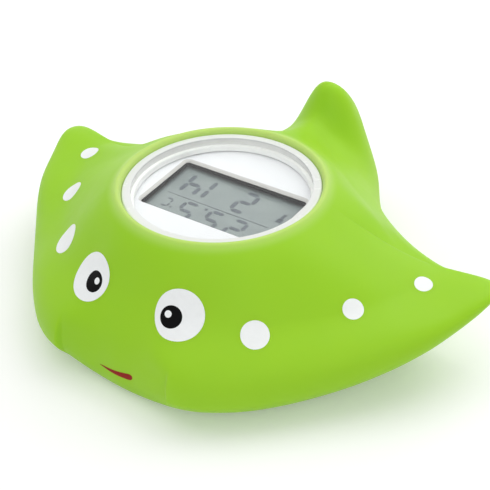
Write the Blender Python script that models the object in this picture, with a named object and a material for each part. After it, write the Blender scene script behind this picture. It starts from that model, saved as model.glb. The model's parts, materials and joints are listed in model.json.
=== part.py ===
"""Floating bath thermometer: a soft vinyl ray with a round display module in its middle.

Metres, +Z up. The origin is on the floor under the centre of the lens, the nose points to -Y,
the tail to +Y and the wings to -X and +X.
"""
import math

import bmesh
import bpy
import numpy as np
from mathutils import Vector
from mathutils.bvhtree import BVHTree

for old in list(bpy.data.objects):
    bpy.data.objects.remove(old, do_unlink=True)

# Fits
GAP = 0.0003            # between two pieces that touch
SLIDE_FIT = 0.0003      # radial play of a button in its hole

# Module, outside
MODULE_RADIUS = 0.0225
BEZEL_WIDTH = 0.0019
BEZEL_TOP = 0.0325      # height of the ring above the floor
BEZEL_ROUND = 0.0004
FLOOR_LIFT = 0.0006     # underside of the module above the floor
FLOOR_THICK = 0.0034
HOUSING_WALL = 0.0017
LOWER_HEIGHT = 0.0114

# Display stack, from the top down
LENS_RECESS = 0.0002    # lens top below the ring
LENS_THICK = 0.0016
LENS_SKIRT = 0.0009
LENS_AIR = 0.0028       # clear height inside the lens cap
PLATE_THICK = 0.0007
WINDOW_Y = 0.0189
WINDOW_RIM = 0.0014     # window corners inside the lens's edge
DISPLAY_TURN = 3.3      # degrees, the display sits slightly turned in its round module
WINDOW_CHAMFER = 0.0004
FRAME_LIP = 0.0007
DISPLAY_MARGIN = 0.0003
GLASS_THICK = 0.001
REFLECTOR_THICK = 0.0003
REFLECTOR_CLEAR = 0.0008
CONTACT_STRIP_INSET_X = 0.00165
CONTACT_STRIP_Y = 0.0016
CONTACT_STRIP_INSET_Y = 0.0008
CONTACT_STRIP_Z = 0.0026
BOARD_THICK = 0.0016
HOUSING_STEP = 0.0012   # ledge that carries the display frame

# Seal between module and body
SEAL_SECTION = 0.00055
SEAL_BELOW_TOP = 0.0098
BORE_PLAY = 0.0005

# Screws
SCREW_INSET = 0.0021    # screw line inside the housing wall
SCREW_ANGLES = (45.0, 135.0, 270.0)
SCREW_SHANK = 0.0007
SCREW_HEAD = 0.0014
SCREW_HEAD_HIGH = 0.001
BOSS_WALL = 0.0013

# Battery bay
CELL_RADIUS = 0.010
CELL_THICK = 0.0032
CONTACT_THICK = 0.0003
BAY_WALL = 0.0012
BAY_LID = 0.001
DOOR_THICK = 0.0014
DOOR_LAND = 0.0019
GASKET_THICK = 0.0006
DOOR_EAR_OUT = 0.0017   # ear screw beyond the door's edge
DOOR_EAR_RADIUS = 0.0026
DOOR_SCREW_SHANK = 0.0006
DOOR_SCREW_HEAD = 0.0012
DOOR_SCREW_LONG = 0.0062

# Buttons and sensor
BUTTON_BAY_CLEAR = 0.0004  # flange to battery bay
BUTTON_FLANGE = 0.0009
BUTTON_FLANGE_HIGH = 0.001
BUTTON_STEM = 0.0013
BUTTON_TRAVEL = 0.0008
BUTTON_RECESS = 0.0004
BUTTON_CLEAR = 0.0008   # flange to housing wall
BUTTON_ANGLES = (-66.0, -114.0)
SWITCH_MARGIN = 0.0003  # switch inside the button's edge
SWITCH_HIGH = 0.0018
SENSOR_RADIUS = 0.0024
SENSOR_HIGH = 0.0046
SENSOR_WALL = 0.0004
THERMISTOR_RADIUS = 0.0011
LEAD_RADIUS = 0.00025
LEAD_SPACING = 0.0011

# Vinyl body
BODY_WALL = 0.0020
LIP_RISE = 0.0013       # lip above the bezel ring
LIP_WIDTH = 0.0013
FOOT_ROUND = 0.0012
VENT_RADIUS = 0.0020
VENT_AT = 0.0335
TAIL_AT = 0.0454
TAIL_HIGH = 0.0117
TAIL_HALF_WIDTH = 0.0085
TAIL_FRONT_LENGTH = 0.0061
TAIL_BACK_LENGTH = 0.0117
TAIL_POWER = 3.0
CHIN_HALF_WIDTH = 0.0157  # flat chin between the cheeks
CHIN_EDGE = 0.0010
CHIN_FLATNESS = 0.5
CHIN_FADE = (0.0160, 0.0110)  # heights where it starts and is whole

# Right half of the body's outline, nose to tail, in millimetres and degrees:
# widest point (x, y, z), belt (share of the way out, z, slope down), reach of the edge (up, down),
# radius of the flat foot, slope beside the lip
STATIONS_MM = (
    (0.0, -40.2, 5.7, 0.52, 22.0, 55.0, 10.0, 4.8, 36.0, 34.0),
    (6.5, -40.2, 6.0, 0.52, 22.0, 54.0, 10.0, 4.3, 36.2, 34.0),
    (14.6, -42.1, 7.5, 0.48, 21.3, 49.0, 10.0, 2.6, 34.8, 34.0),
    (21.6, -40.0, 7.5, 0.46, 21.4, 47.0, 10.0, 2.2, 34.6, 34.0),
    (31.1, -33.0, 8.4, 0.53, 21.5, 52.0, 9.8, 4.8, 34.2, 32.0),
    (39.3, -24.4, 9.6, 0.54, 21.3, 51.0, 8.8, 6.5, 33.2, 32.0),
    (48.0, -14.4, 11.9, 0.58, 20.9, 44.0, 7.8, 7.5, 32.0, 32.0),
    (56.1, -3.7, 15.2, 0.59, 21.2, 31.0, 7.0, 6.1, 31.0, 36.0),
    (60.4, 5.9, 18.0, 0.62, 21.3, 19.0, 4.8, 5.5, 30.0, 37.0),
    (62.3, 13.5, 20.0, 0.62, 21.7, 16.0, 4.0, 4.0, 30.0, 37.0),
    (60.5, 16.9, 19.7, 0.62, 21.6, 15.0, 3.2, 4.0, 30.0, 36.0),
    (53.3, 16.3, 18.7, 0.62, 22.3, 19.0, 3.2, 4.0, 30.0, 34.0),
    (45.7, 17.0, 18.3, 0.60, 24.2, 34.0, 4.1, 4.5, 30.0, 32.0),
    (39.0, 20.4, 16.8, 0.55, 25.9, 46.0, 4.6, 6.0, 30.0, 30.0),
    (31.4, 25.5, 15.6, 0.50, 25.9, 49.0, 4.4, 7.0, 30.0, 30.0),
    (22.9, 32.5, 14.3, 0.45, 26.0, 42.0, 4.8, 8.0, 31.0, 27.0),
    (15.6, 42.6, 13.5, 0.40, 26.3, 28.0, 5.2, 8.0, 34.0, 22.0),
    (9.6, 50.0, 13.0, 0.39, 28.0, 10.0, 11.0, 8.0, 38.0, 18.0),
    (0.0, 54.1, 12.8, 0.34, 31.4, 1.0, 8.4, 8.0, 40.0, 16.0),
)
COLUMNS = (2, 9)         # per station interval: most of the body, and beside the tail
ROWS = (6, 11, 4)        # lip to belt, belt to edge, edge to foot

MM = 0.001               # unit of the tables

# Printed marks, in millimetres: name, place (x, y), radius, colour
MARKS_MM = (
    ("eye_white_right", 12.3, -31.5, 5.5, "eye_white_print"),
    ("eye_white_left", -12.3, -31.5, 5.5, "eye_white_print"),
    ("dot_right_front", 27.5, -24.5, 3.0, "dot_print"),
    ("dot_right_middle", 40.2, -8.1, 2.3, "dot_print"),
    ("dot_right_tip", 48.3, 6.9, 1.9, "dot_print"),
    ("dot_left_front", -27.5, -24.5, 3.8, "dot_print"),
    ("dot_left_middle", -40.2, -8.1, 2.95, "dot_print"),
    ("dot_left_tip", -48.3, 6.9, 2.4, "dot_print"),
)
PUPIL_MM = (10.8, -32.1, 2.45)
GLINT_MM = (10.0, -32.0, 0.78)
MARK_GAP = 0.0003
MARK_THICK = 0.0003
MOUTH_Z = 0.0050
MOUTH_HALF = 0.0044
MOUTH_THICK = 0.0012
MOUTH_SAG = 0.0012

# Derived heights
LENS_TOP = BEZEL_TOP - LENS_RECESS
PLATE_TOP = LENS_TOP - LENS_THICK - LENS_AIR - GAP
PLATE_BOTTOM = PLATE_TOP - PLATE_THICK
HOUSING_TOP = PLATE_BOTTOM - GAP
FRAME_TOP = HOUSING_TOP
GLASS_TOP = FRAME_TOP - FRAME_LIP - GAP
REAR_TOP = GLASS_TOP - GLASS_THICK - GAP
REFLECTOR_TOP = REAR_TOP - GLASS_THICK - GAP
FRAME_BOTTOM = REFLECTOR_TOP - REFLECTOR_THICK - GAP
STEP_Z = FRAME_BOTTOM - GAP
STRIP_TOP = REFLECTOR_TOP
STRIP_BOTTOM = STRIP_TOP - CONTACT_STRIP_Z
BOARD_TOP = STRIP_BOTTOM - GAP
BOARD_BOTTOM = BOARD_TOP - BOARD_THICK
BOSS_TOP = BOARD_BOTTOM - GAP
FLOOR_TOP = FLOOR_LIFT + FLOOR_THICK
LOWER_TOP = FLOOR_LIFT + LOWER_HEIGHT
UPPER_BOTTOM = LOWER_TOP + GAP
LIP_TOP = BEZEL_TOP + LIP_RISE

# Derived radii
HOUSING_INNER = MODULE_RADIUS - HOUSING_WALL
STEP_INNER = HOUSING_INNER - HOUSING_STEP
BEZEL_INNER = MODULE_RADIUS - BEZEL_WIDTH
LENS_RADIUS = BEZEL_INNER - GAP
FRAME_RADIUS = HOUSING_INNER - GAP
BOARD_RADIUS = STEP_INNER - GAP
BORE_RADIUS = MODULE_RADIUS + BORE_PLAY
LIP_RADIUS = BORE_RADIUS + LIP_WIDTH
BAY_INNER = CELL_RADIUS + 2 * GAP + CONTACT_THICK + GAP
BAY_OUTER = BAY_INNER + BAY_WALL
DOOR_RADIUS = BAY_INNER + DOOR_LAND
CELL_BOTTOM = DOOR_THICK + GAP
CELL_TOP = CELL_BOTTOM + CELL_THICK
DOOR_SEAT = DOOR_THICK + GASKET_THICK + 2 * GAP
BAY_CEILING = CELL_TOP + CONTACT_THICK + 2 * GAP
BOSS_RADIUS = SCREW_SHANK + GAP + BOSS_WALL
DOOR_EAR_AT = DOOR_RADIUS + DOOR_EAR_OUT
SCREW_CIRCLE = HOUSING_INNER - SCREW_INSET
BUTTON_ROOM = HOUSING_INNER - BUTTON_CLEAR - BAY_OUTER - BUTTON_BAY_CLEAR
BUTTON_RADIUS = BUTTON_ROOM / 2 - BUTTON_FLANGE - SLIDE_FIT
BUTTON_CIRCLE = HOUSING_INNER - BUTTON_CLEAR - BUTTON_ROOM / 2
SWITCH_SIDE = 2 * (BUTTON_RADIUS - SWITCH_MARGIN)
SENSOR_CIRCLE = (HOUSING_INNER + DOOR_RADIUS) / 2

# Derived display sizes: the window's corners lie on a circle inside the lens
WINDOW_X = 2 * math.sqrt((LENS_RADIUS - WINDOW_RIM) ** 2 - (WINDOW_Y / 2) ** 2)
CONTACT_STRIP_X = WINDOW_X - 2 * CONTACT_STRIP_INSET_X
CONTACT_STRIP_AT = WINDOW_Y / 2 - CONTACT_STRIP_INSET_Y
REFLECTOR_Y = 2 * (CONTACT_STRIP_AT - CONTACT_STRIP_Y / 2 - REFLECTOR_CLEAR)


def material(name, colour, roughness, metallic=0.0, transmission=0.0, coat=0.0):
    """A Principled BSDF of the given sRGB colour (0 to 255)."""
    linear = [((c / 255 + 0.055) / 1.055) ** 2.4 if c > 10 else c / 255 / 12.92 for c in colour]
    mat = bpy.data.materials.new(name)
    mat.use_nodes = True
    bsdf = mat.node_tree.nodes["Principled BSDF"]
    bsdf.inputs["Base Color"].default_value = (*linear, 1.0)
    bsdf.inputs["Roughness"].default_value = roughness
    bsdf.inputs["Metallic"].default_value = metallic
    bsdf.inputs["Transmission Weight"].default_value = transmission
    bsdf.inputs["Coat Weight"].default_value = coat
    mat.diffuse_color = (*linear, 1.0)
    return mat


MATERIALS = {
    "green_vinyl": material("green_vinyl", (157, 207, 60), 0.38),
    "eye_white_print": material("eye_white_print", (244, 246, 244), 0.35),
    "dot_print": material("dot_print", (240, 245, 242), 0.35),
    "pupil_print": material("pupil_print", (36, 36, 38), 0.3),
    "mouth_print": material("mouth_print", (140, 45, 40), 0.4),
    "white_bezel": material("white_bezel", (238, 239, 236), 0.22),
    "clear_lens": material("clear_lens", (250, 252, 252), 0.03, transmission=1.0),
    "white_plate": material("white_plate", (246, 247, 248), 0.4),
    "black_frame": material("black_frame", (48, 50, 50), 0.5),
    "display_glass": material("display_glass", (150, 162, 160), 0.1),
    "reflector_film": material("reflector_film", (190, 194, 190), 0.3),
    "contact_rubber": material("contact_rubber", (70, 68, 70), 0.7),
    "board_green": material("board_green", (30, 92, 56), 0.45),
    "chip_resin": material("chip_resin", (18, 18, 20), 0.35),
    "component_tan": material("component_tan", (176, 140, 96), 0.5),
    "switch_black": material("switch_black", (30, 30, 32), 0.5),
    "housing_white": material("housing_white", (232, 233, 230), 0.4),
    "seal_rubber": material("seal_rubber", (44, 44, 46), 0.7),
    "plated_steel": material("plated_steel", (196, 198, 202), 0.28, metallic=1.0),
    "sensor_steel": material("sensor_steel", (206, 206, 204), 0.22, metallic=1.0),
    "tinned_copper": material("tinned_copper", (190, 190, 194), 0.3, metallic=1.0),
    "thermistor_epoxy": material("thermistor_epoxy", (26, 24, 24), 0.4),
    "button_grey": material("button_grey", (150, 156, 160), 0.6),
}

root = bpy.data.objects.new("thermometer", None)
bpy.context.scene.collection.objects.link(root)
display = bpy.data.objects.new("display_axis", None)
display.parent = root
display.rotation_euler = (0, 0, math.radians(DISPLAY_TURN))
bpy.context.scene.collection.objects.link(display)


def add_object(name, bm, mat=None, location=(0, 0, 0), smooth_angle=35.0, parent=None):
    """Turn a bmesh into a scene object with one material, faces pointing out."""
    bmesh.ops.recalc_face_normals(bm, faces=bm.faces)
    mesh = bpy.data.meshes.new(name)
    bm.to_mesh(mesh)
    bm.free()
    mesh.shade_smooth()
    mesh.set_sharp_from_angle(angle=math.radians(smooth_angle))
    obj = bpy.data.objects.new(name, mesh)
    bpy.context.scene.collection.objects.link(obj)
    if mat:
        mesh.materials.append(MATERIALS[mat])
    obj.location = location
    obj.parent = parent or root
    return obj


def cut(obj, cutter, operation="DIFFERENCE"):
    """Boolean a guide object into obj; the guide stays as a hidden wire."""
    cutter.hide_render = True
    cutter.display_type = "WIRE"
    mod = obj.modifiers.new(cutter.name, "BOOLEAN")
    mod.operation = operation
    mod.object = cutter
    mod.solver = "EXACT"
    return mod


def turned_mesh(profile, segments):
    """Spin a closed (radius, height) outline round Z."""
    bm = bmesh.new()
    verts = [bm.verts.new((r, 0.0, z)) for r, z in profile]
    edges = [bm.edges.new((verts[i], verts[(i + 1) % len(verts)])) for i in range(len(verts))
             if not (profile[i][0] < 1e-9 and profile[(i + 1) % len(verts)][0] < 1e-9)]
    bmesh.ops.spin(bm, geom=verts + edges, cent=(0, 0, 0), axis=(0, 0, 1),
                   angle=2 * math.pi, steps=segments, use_merge=True)
    bmesh.ops.remove_doubles(bm, verts=bm.verts, dist=1e-7)
    return bm


def turned(name, profile, mat=None, segments=32, location=(0, 0, 0), parent=None):
    return add_object(name, turned_mesh(profile, segments), mat, location, parent=parent)


def rod(name, radius, z0, z1, mat=None, segments=16, at=(0, 0), parent=None):
    return turned(name, ((0, z0), (radius, z0), (radius, z1), (0, z1)), mat, segments,
                  (at[0], at[1], 0), parent=parent)


def cluster(name, members):
    """One guide made of several turned bodies: (profile, segments, place)."""
    bm = bmesh.new()
    for profile, segments, at in members:
        piece = turned_mesh(profile, segments)
        bmesh.ops.translate(piece, vec=(at[0], at[1], 0), verts=piece.verts)
        mesh = bpy.data.meshes.new(name)
        piece.to_mesh(mesh)
        piece.free()
        bm.from_mesh(mesh)
    return add_object(name, bm)


def pillar(radius, z0, z1):
    return (0, z0), (radius, z0), (radius, z1), (0, z1)


def stepped(radius, z0, z1, neck, z2):
    return (0, z0), (radius, z0), (radius, z1), (neck, z1), (neck, z2), (0, z2)


def block(name, size, centre, mat=None, parent=None):
    bm = bmesh.new()
    bmesh.ops.create_cube(bm, size=1.0)
    bmesh.ops.scale(bm, vec=size, verts=bm.verts)
    return add_object(name, bm, mat, centre, parent=parent)


def prism(name, outline, z0, z1, mat=None):
    """Extrude a flat outline from z0 to z1."""
    bm = bmesh.new()
    face = bm.faces.new([bm.verts.new((x, y, z0)) for x, y in outline])
    top = bmesh.ops.extrude_face_region(bm, geom=[face])
    bmesh.ops.translate(bm, vec=(0, 0, z1 - z0),
                        verts=[v for v in top["geom"] if isinstance(v, bmesh.types.BMVert)])
    return add_object(name, bm, mat)


def on_circle(radius, degrees):
    angle = math.radians(degrees)
    return radius * math.cos(angle), radius * math.sin(angle)


# The vinyl body's skin: sections through the lens axis, each a chain of three cubic arcs
# (lip to belt, belt to widest edge, edge to foot) whose corner points run smoothly round the body.
def mirrored_stations():
    right = np.array(STATIONS_MM)
    left = right[1:-1][::-1].copy()
    left[:, 0] *= -1
    table = np.vstack([right, left])
    for column in (0, 1, 2, 4, 6, 7, 8):
        table[:, column] *= MM
    return table


def closed_spline(knots, values, period, wanted):
    """Periodic cubic through the values, with continuous curvature."""
    count = len(knots)
    span = np.diff(np.append(knots, knots[0] + period))
    matrix = np.zeros((count, count))
    right_side = np.zeros(values.shape)
    for i in range(count):
        before, after = span[i - 1], span[i]
        matrix[i, i - 1] += before
        matrix[i, i] += 2 * (before + after)
        matrix[i, (i + 1) % count] += after
        right_side[i] = 6 * ((values[(i + 1) % count] - values[i]) / after
                             - (values[i] - values[i - 1]) / before)
    second = np.linalg.solve(matrix, right_side)
    ends = np.append(knots, knots[0] + period)
    k = np.clip(np.searchsorted(ends, wanted, side="right") - 1, 0, count - 1)
    width = span[k][:, None]
    a = (ends[k + 1] - wanted)[:, None] / width
    b = 1 - a
    nxt = (k + 1) % count
    return (a * values[k] + b * values[nxt]
            + ((a ** 3 - a) * second[k] + (b ** 3 - b) * second[nxt]) * width ** 2 / 6)


def cubic_arc(start, end, leave, arrive, share):
    s = share[:, None, None]
    return ((2 * s ** 3 - 3 * s ** 2 + 1) * start + (s ** 3 - 2 * s ** 2 + s) * leave
            + (-2 * s ** 3 + 3 * s ** 2) * end + (s ** 3 - s ** 2) * arrive)


def downhill(degrees):
    angle = np.radians(degrees)
    return np.stack([np.cos(angle), -np.sin(angle)], axis=1)


def body_skin(per_station=COLUMNS, rows=ROWS):
    """Grid of points [row, column, xyz] from the lip, over the edge, to the flat foot."""
    table = mirrored_stations()
    closed = np.vstack([table, table[:1]])
    steps = np.linalg.norm(np.diff(closed[:, :2], axis=0), axis=1) ** 0.75
    knots = np.concatenate([[0.0], np.cumsum(steps)])
    period = knots[-1]
    tail = len(STATIONS_MM) - 1
    wanted = []
    for i in range(len(table)):
        count = per_station[1] if tail - 2 <= i < tail + 2 else per_station[0]
        wanted += [knots[i] + (knots[i + 1] - knots[i]) * k / count for k in range(count)]
    wanted = np.array(wanted)
    columns = closed_spline(knots[:-1], table, period, wanted)
    x, y, edge_z, share, belt_z, belt_slope, up, down, foot, lip_slope = columns.T
    edge_r = np.hypot(x, y)
    lip_z = LIP_TOP - 0.35 * LIP_WIDTH
    lip = np.stack([0 * edge_r + LIP_RADIUS, 0 * edge_r + lip_z], axis=1)
    belt = np.stack([LIP_RADIUS + (edge_r - LIP_RADIUS) * share, belt_z], axis=1)
    edge = np.stack([edge_r, edge_z], axis=1)
    floor = np.stack([foot, 0 * foot], axis=1)
    reach = [np.linalg.norm(b - a, axis=1)[:, None] for a, b in ((lip, belt), (belt, edge), (edge, floor))]
    shares = [np.linspace(0, 1, n + 1) for n in rows]
    sections = np.concatenate([
        cubic_arc(lip, belt, downhill(lip_slope) * reach[0], downhill(belt_slope) * reach[0],
                  shares[0][:-1]),
        cubic_arc(belt, edge, downhill(belt_slope) * reach[1], np.array([0.0, -2.2]) * up[:, None],
                  shares[1][:-1]),
        cubic_arc(edge, floor, np.array([0.0, -2.2]) * down[:, None], np.array([-1.1, 0.0]) * reach[2],
                  shares[2]),
    ])
    px = sections[..., 0] * x / edge_r
    py = sections[..., 0] * y / edge_r
    pz = sections[..., 1].copy()
    # the flat chin: what stands out beyond the middle section is taken back
    across = np.clip((CHIN_HALF_WIDTH - np.abs(px)) / CHIN_EDGE, 0, 1)
    down = np.clip((CHIN_FADE[0] - pz) / (CHIN_FADE[0] - CHIN_FADE[1]), 0, 1)
    middle = py[:, :1]
    py += CHIN_FLATNESS * across * down * down * (3 - 2 * down) * np.maximum(middle - py, 0)
    # the upturned tail: a smooth hill on the back of the body
    half_length = np.where(py < TAIL_AT, TAIL_FRONT_LENGTH, TAIL_BACK_LENGTH)
    hill = TAIL_HIGH * np.exp(-np.hypot(px / TAIL_HALF_WIDTH, (py - TAIL_AT) / half_length) ** TAIL_POWER)
    edge_row = rows[0] + rows[1]
    fade = np.clip((edge_row - np.arange(len(pz))) / (0.4 * rows[1]), 0, 1)[:, None]
    pz += hill * fade
    return np.stack([px, py, pz], axis=-1)


def grid_normals(grid):
    """Outward normals of the skin's grid, by central differences."""
    around = np.roll(grid, -1, axis=1) - np.roll(grid, 1, axis=1)
    along = np.gradient(grid, axis=0)
    normal = np.cross(along, around)
    return normal / np.maximum(np.linalg.norm(normal, axis=-1, keepdims=True), 1e-12)


def ring_rows(profile, like):
    """Rows of a round profile, at the azimuths of the skin's first row."""
    azimuth = np.arctan2(like[:, 1], like[:, 0])
    return np.array([np.stack([r * np.cos(azimuth), r * np.sin(azimuth), np.full_like(azimuth, z)],
                              axis=1) for r, z in profile])


def closed_ring_mesh(grid):
    """Join a grid that closes on itself both ways into one doughnut."""
    bm = bmesh.new()
    rows, columns = grid.shape[:2]
    verts = [[bm.verts.new(grid[i, j]) for j in range(columns)] for i in range(rows)]
    for i in range(rows):
        for j in range(columns):
            n, m = (i + 1) % rows, (j + 1) % columns
            bm.faces.new((verts[i][j], verts[i][m], verts[n][m], verts[n][j]))
    return bm


skin = body_skin()
outer_grid = np.concatenate([
    skin,
    ring_rows(((BORE_RADIUS + FOOT_ROUND, 0.0), (BORE_RADIUS + 0.3 * FOOT_ROUND, 0.3 * FOOT_ROUND),
               (BORE_RADIUS, FOOT_ROUND), (BORE_RADIUS, LIP_TOP - 0.5 * LIP_WIDTH),
               (BORE_RADIUS + 0.15 * LIP_WIDTH, LIP_TOP - 0.15 * LIP_WIDTH),
               (BORE_RADIUS + 0.5 * LIP_WIDTH, LIP_TOP)), skin[0]),
])
inner_skin = skin - BODY_WALL * grid_normals(skin)
inner_skin[..., 2] = np.maximum(inner_skin[..., 2], BODY_WALL)
chamber_wall = BORE_RADIUS + BODY_WALL
inner_skin = inner_skin[2:-1:2]
chamber_grid = np.concatenate([
    inner_skin,
    ring_rows(((chamber_wall + BODY_WALL, BODY_WALL), (chamber_wall, 2 * BODY_WALL),
               (chamber_wall, LIP_TOP - 3 * BODY_WALL)), skin[0]),
])

float_body = add_object("float_body", closed_ring_mesh(outer_grid), "green_vinyl", smooth_angle=60.0)
chamber = add_object("chamber_cutter", closed_ring_mesh(chamber_grid))
vent = rod("vent_cutter", VENT_RADIUS, -BODY_WALL, 2 * BODY_WALL, segments=12, at=(0, VENT_AT))
cut(float_body, chamber)
cut(float_body, vent)
rod("vent_plug", VENT_RADIUS - GAP, GAP, BODY_WALL - GAP, "seal_rubber", 12, (0, VENT_AT))


# Printed marks: thin pads that follow the skin
fine = body_skin((8, 8), (10, 10, 8))
fine_bm = bmesh.new()
fine_verts = [[fine_bm.verts.new(p) for p in row] for row in fine]
for i in range(fine.shape[0] - 1):
    for j in range(fine.shape[1]):
        m = (j + 1) % fine.shape[1]
        fine_bm.faces.new((fine_verts[i][j], fine_verts[i + 1][j], fine_verts[i + 1][m], fine_verts[i][m]))
fine_bm.normal_update()
skin_tree = BVHTree.FromBMesh(fine_bm)
fine_bm.free()


def skin_frame(x, y):
    """Place and outward normal of the skin above (x, y)."""
    place, normal, _, _ = skin_tree.ray_cast(Vector((x, y, 0.2)), Vector((0, 0, -1)))
    return place, normal if normal.z > 0 else -normal


def pad(name, origin, normal, outline, mat, lift, rings=(0.6, 1.0)):
    """A thin pad: outline points (u, v) round the origin, laid on the skin along its normal."""
    side = Vector((0, 0, 1)).cross(normal).normalized()
    up = normal.cross(side)
    bm = bmesh.new()
    layers = []
    for height in (lift, lift + MARK_THICK):
        points = []
        for scale in (0.0,) + tuple(rings):
            ring = []
            for u, v in (outline if scale else ((0.0, 0.0),)):
                hit, hit_normal, _, _ = skin_tree.find_nearest(origin + (side * u + up * v) * scale)
                outward = hit_normal if hit_normal.dot(normal) > 0 else -hit_normal
                ring.append(bm.verts.new(hit + outward * height))
            points.append(ring)
        layers.append(points)
    count = len(outline)
    for points in layers:
        for i in range(count):
            j = (i + 1) % count
            bm.faces.new((points[0][0], points[1][i], points[1][j]))
            for inner, outer in zip(points[1:], points[2:]):
                bm.faces.new((inner[i], outer[i], outer[j], inner[j]))
    for i in range(count):
        j = (i + 1) % count
        bm.faces.new((layers[0][-1][i], layers[0][-1][j], layers[1][-1][j], layers[1][-1][i]))
    return add_object(name, bm, mat, smooth_angle=50.0)


def disc_outline(radius, count=18):
    return [on_circle(radius, 360.0 * i / count) for i in range(count)]


for name, x, y, radius, print_name in MARKS_MM:
    place, normal = skin_frame(x * MM, y * MM)
    pad(name, place, normal, disc_outline(radius * MM), print_name, MARK_GAP)
for side_name, sign in (("right", 1), ("left", -1)):
    place, normal = skin_frame(sign * PUPIL_MM[0] * MM, PUPIL_MM[1] * MM)
    pad("pupil_" + side_name, place, normal, disc_outline(PUPIL_MM[2] * MM, 16), "pupil_print",
        2 * MARK_GAP + MARK_THICK)
    place, normal = skin_frame(sign * GLINT_MM[0] * MM, GLINT_MM[1] * MM)
    pad("glint_" + side_name, place, normal, disc_outline(GLINT_MM[2] * MM, 10), "eye_white_print",
        3 * MARK_GAP + 2 * MARK_THICK)


def mouth_outline(steps=8):
    """A thin crescent round its middle, with both ends turned up."""
    lower = [(MOUTH_HALF * s, MOUTH_SAG * s * s - 0.5 * MOUTH_THICK * (1 - s * s))
             for s in np.linspace(-1, 1, steps)]
    upper = [(MOUTH_HALF * s, MOUTH_SAG * s * s + 0.5 * MOUTH_THICK * (1 - s * s))
             for s in np.linspace(1, -1, steps)[1:-1]]
    return lower + upper


chin, _, _, _ = skin_tree.ray_cast(Vector((0, -0.1, MOUTH_Z)), Vector((0, 1, 0)))
pad("mouth_print", chin, Vector((0, -1, 0)), mouth_outline(), "mouth_print", MARK_GAP, rings=(0.5, 1.0))


# Display module, from the top down
turned("bezel_ring", (
    (BEZEL_INNER, HOUSING_TOP + GAP), (MODULE_RADIUS, HOUSING_TOP + GAP),
    (MODULE_RADIUS, BEZEL_TOP - BEZEL_ROUND), (MODULE_RADIUS - 0.3 * BEZEL_ROUND, BEZEL_TOP - 0.3 * BEZEL_ROUND),
    (MODULE_RADIUS - BEZEL_ROUND, BEZEL_TOP), (BEZEL_INNER, BEZEL_TOP)), "white_bezel", 56)
lens_bottom = LENS_TOP - LENS_THICK
turned("lens", (
    (0, lens_bottom), (LENS_RADIUS - LENS_SKIRT, lens_bottom),
    (LENS_RADIUS - LENS_SKIRT, lens_bottom - LENS_AIR), (LENS_RADIUS, lens_bottom - LENS_AIR),
    (LENS_RADIUS, LENS_TOP), (0, LENS_TOP)), "clear_lens", 48)


def window_cutter(name, z_low, z_high, grow=0.0, flare=0.0):
    """A rectangular through cut, wider by flare at the top."""
    bm = bmesh.new()
    half = (WINDOW_X / 2 + grow, WINDOW_Y / 2 + grow)
    lower = [bm.verts.new((sx * half[0], sy * half[1], z_low)) for sx, sy in
             ((-1, -1), (1, -1), (1, 1), (-1, 1))]
    upper = [bm.verts.new((sx * (half[0] + flare), sy * (half[1] + flare), z_high)) for sx, sy in
             ((-1, -1), (1, -1), (1, 1), (-1, 1))]
    bm.faces.new(lower)
    bm.faces.new(upper)
    for i in range(4):
        bm.faces.new((lower[i], lower[(i + 1) % 4], upper[(i + 1) % 4], upper[i]))
    return add_object(name, bm, parent=display)


face_plate = rod("face_plate", LENS_RADIUS, PLATE_BOTTOM, PLATE_TOP, "white_plate", 48, parent=display)
cut(face_plate, window_cutter("window_cutter", PLATE_BOTTOM - GAP, PLATE_TOP + GAP, 0.0,
                              WINDOW_CHAMFER + 2 * GAP))
display_frame = rod("display_frame", FRAME_RADIUS, FRAME_BOTTOM, FRAME_TOP, "black_frame", 48, parent=display)
cut(display_frame, window_cutter("frame_window_cutter", FRAME_BOTTOM - GAP, FRAME_TOP + GAP))
cut(display_frame, window_cutter("frame_pocket_cutter", FRAME_BOTTOM - GAP, GLASS_TOP + GAP,
                                 DISPLAY_MARGIN + GAP))
glass_x, glass_y = WINDOW_X + 2 * DISPLAY_MARGIN, WINDOW_Y + 2 * DISPLAY_MARGIN
block("display_front_glass", (glass_x, glass_y, GLASS_THICK), (0, 0, GLASS_TOP - GLASS_THICK / 2),
      "display_glass", display)
block("display_rear_glass", (glass_x, glass_y, GLASS_THICK), (0, 0, REAR_TOP - GLASS_THICK / 2),
      "display_glass", display)
block("display_reflector", (CONTACT_STRIP_X, REFLECTOR_Y, REFLECTOR_THICK),
      (0, 0, REFLECTOR_TOP - REFLECTOR_THICK / 2), "reflector_film", display)
for side_name, sign in (("front", -1), ("rear", 1)):
    block("contact_strip_" + side_name, (CONTACT_STRIP_X, CONTACT_STRIP_Y, CONTACT_STRIP_Z),
          (0, sign * CONTACT_STRIP_AT, STRIP_TOP - CONTACT_STRIP_Z / 2), "contact_rubber", display)

rod("circuit_board", BOARD_RADIUS, BOARD_BOTTOM, BOARD_TOP, "board_green", 40)
blob_top = BOARD_BOTTOM - GAP
turned("chip_blob", ((0, blob_top - 0.0012), (0.0022, blob_top - 0.001), (0.0034, blob_top - 0.0004),
                     (0.0036, blob_top), (0, blob_top)), "chip_resin", 20, (0.004, 0.004, 0))
crystal = turned("quartz_crystal", ((0, -0.003), (0.001, -0.003), (0.001, 0.003), (0, 0.003)),
                 "plated_steel", 12, (-0.006, 0.006, BOARD_BOTTOM - GAP - 0.001))
crystal.rotation_euler = (0, math.radians(90), 0)
for number, x in ((1, -0.0075), (2, -0.0045)):
    block("capacitor_%d" % number, (0.0016, 0.0008, 0.0008), (x, 0.0015, BOARD_BOTTOM - GAP - 0.0004),
          "component_tan")

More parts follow.
